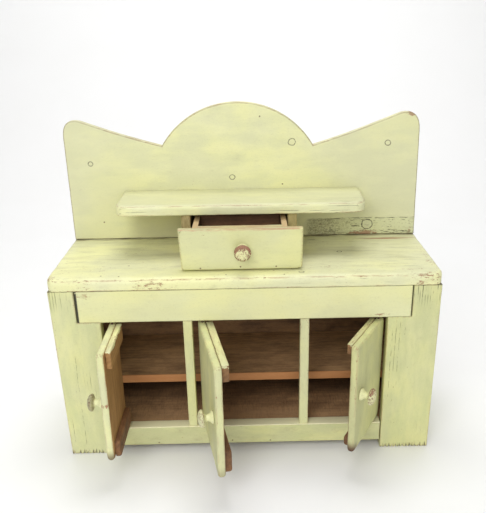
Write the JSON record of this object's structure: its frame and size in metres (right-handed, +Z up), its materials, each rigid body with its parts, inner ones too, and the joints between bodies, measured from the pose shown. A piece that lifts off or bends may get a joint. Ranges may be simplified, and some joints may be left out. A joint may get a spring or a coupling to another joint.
{
  "type": "toy kitchen dresser",
  "caption": "Painted wooden toy kitchen dresser with hinged cupboard doors, a worktop, a shaped backboard with an arch, an upper shelf and a small drawer.",
  "frame": {"origin": "on the floor, at the bottom centre of the whole object with its doors open and its drawer pulled out; the cabinet's front face is 38 mm in front of it", "axes": "+X to the right as seen from the front, +Y from the front towards the backboard, +Z up"},
  "size_m": [0.76, 0.4198, 0.696],
  "materials": {
    "painted_wood": "brushed pale yellow-green paint, worn through at the edges",
    "bare_wood": "rough sawn bare wood, darkened with age",
    "nail_steel": "dull oxidised steel"
  },
  "bodies": {
    "carcass": {"back_board_lower": "bare_wood", "back_board_middle": "bare_wood", "back_board_upper": "bare_wood", "back_nails": "nail_steel", "backboard": "painted_wood", "backboard_nails": "nail_steel", "bottom_rail": "painted_wood", "centre_door_lower_pin": "nail_steel", "centre_door_upper_pin": "nail_steel", "countertop": "painted_wood", "countertop_nails": "nail_steel", "floor_panel": "bare_wood", "frame_nails": "nail_steel", "inner_shelf": "bare_wood", "left_door_lower_pin": "nail_steel", "left_door_upper_pin": "nail_steel", "left_drawer_cheek": "bare_wood", "left_floor_cleat": "bare_wood", "left_muntin": "painted_wood", "left_post": "painted_wood", "left_shelf_cleat": "bare_wood", "left_side_panel": "painted_wood", "right_door_lower_pin": "nail_steel", "right_door_upper_pin": "nail_steel", "right_drawer_cheek": "bare_wood", "right_floor_cleat": "bare_wood", "right_muntin": "painted_wood", "right_post": "painted_wood", "right_shelf_cleat": "bare_wood", "right_side_panel": "painted_wood", "top_rail": "painted_wood", "upper_shelf": "painted_wood", "upper_shelf_nails": "nail_steel"},
    "centre_door": {"centre_door_knob": "painted_wood", "centre_door_lower_batten": "bare_wood", "centre_door_nails": "nail_steel", "centre_door_panel": "painted_wood", "centre_door_upper_batten": "painted_wood"},
    "drawer": {"drawer_back": "bare_wood", "drawer_bottom": "bare_wood", "drawer_front": "painted_wood", "drawer_knob": "painted_wood", "drawer_left_side": "bare_wood", "drawer_nails": "nail_steel", "drawer_right_side": "bare_wood"},
    "left_door": {"left_door_knob": "painted_wood", "left_door_lower_batten": "bare_wood", "left_door_nails": "nail_steel", "left_door_panel": "painted_wood", "left_door_upper_batten": "painted_wood"},
    "right_door": {"right_door_knob": "painted_wood", "right_door_lower_batten": "bare_wood", "right_door_nails": "nail_steel", "right_door_panel": "painted_wood", "right_door_upper_batten": "painted_wood"}
  },
  "joints": [
    {"name": "left_door_hinge", "type": "hinge", "parent": "carcass", "child": "left_door", "pos_m": [-0.2638, -0.0295, 0.185], "axis": [0, 0, -1], "range_deg": [-90, 25]},
    {"name": "centre_door_hinge", "type": "hinge", "parent": "carcass", "child": "centre_door", "pos_m": [-0.0867, -0.0295, 0.185], "axis": [0, 0, -1], "range_deg": [-78, 37]},
    {"name": "right_door_hinge", "type": "hinge", "parent": "carcass", "child": "right_door", "pos_m": [0.262, -0.0295, 0.185], "axis": [0, 0, 1], "range_deg": [-60, 55]},
    {"name": "drawer_slide", "type": "slide", "parent": "carcass", "child": "drawer", "axis": [0, -1, 0], "range_m": [-0.066, 0.024]}
  ]
}
